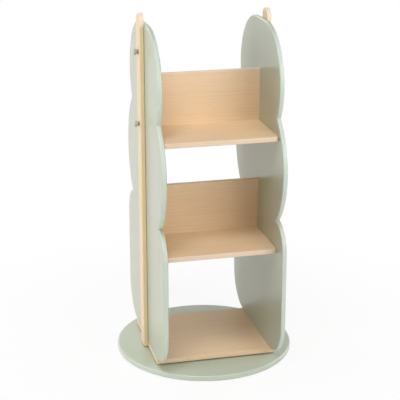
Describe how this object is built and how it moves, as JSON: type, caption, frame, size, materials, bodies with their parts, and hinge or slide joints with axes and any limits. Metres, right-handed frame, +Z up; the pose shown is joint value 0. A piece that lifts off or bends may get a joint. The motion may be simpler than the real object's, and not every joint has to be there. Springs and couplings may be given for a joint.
{
  "type": "revolving bookcase",
  "caption": "Free-standing children's bookcase whose tower of shelves between lobed side panels turns on a round base, with low shelf dividers, wooden side posts and short hanging pegs.",
  "frame": {"origin": "on the floor, under the middle of the round base", "axes": "+Z up, front towards -Y, side panels facing +X and -X"},
  "size_m": [0.4499, 0.45, 0.8799],
  "materials": {
    "sage_paint": "fibreboard with satin sage-green paint",
    "peg_paint": "turned wood with satin sage-green paint",
    "board_wood": "pale wood, clear matt lacquer",
    "post_wood": "pale pine, clear matt lacquer",
    "dowel_wood": "plain beech",
    "steel": "zinc-plated",
    "zinc": "die-cast",
    "ball_steel": "polished",
    "nylon": "matt",
    "felt": "pressed felt"
  },
  "bodies": {
    "base": {"base_disc": "sage_paint", "floor_pads": "felt", "lower_race": "steel", "lower_race_screws": "steel"},
    "cage": {"ball_cage": "nylon", "bearing_balls": "ball_steel"},
    "tower": {"upper_race": "steel", "upper_race_screws": "steel", "bottom_board": "board_wood", "panel_screws": "steel", "left_panel": "sage_paint", "right_panel": "sage_paint", "middle_shelf": "board_wood", "top_shelf": "board_wood", "shelf_dowels": "dowel_wood", "cam_bolts": "steel", "cam_locks": "zinc", "middle_divider": "board_wood", "upper_divider": "board_wood", "divider_screws": "steel", "left_post": "post_wood", "right_post": "post_wood", "post_dowels": "dowel_wood", "left_upper_peg": "peg_paint", "left_lower_peg": "peg_paint", "right_upper_peg": "peg_paint", "right_lower_peg": "peg_paint"}
  },
  "joints": [
    {"name": "tower_spin", "type": "hinge", "parent": "base", "child": "tower", "pos_m": [0, 0, 0.021], "axis": [0, 0, 1], "continuous": true},
    {"name": "cage_spin", "type": "hinge", "parent": "base", "child": "cage", "pos_m": [0, 0, 0.016], "axis": [0, 0, 1], "continuous": true}
  ],
  "couplings": [
    {"joint": "cage_spin", "follows": "tower_spin", "ratio": 0.5}
  ]
}
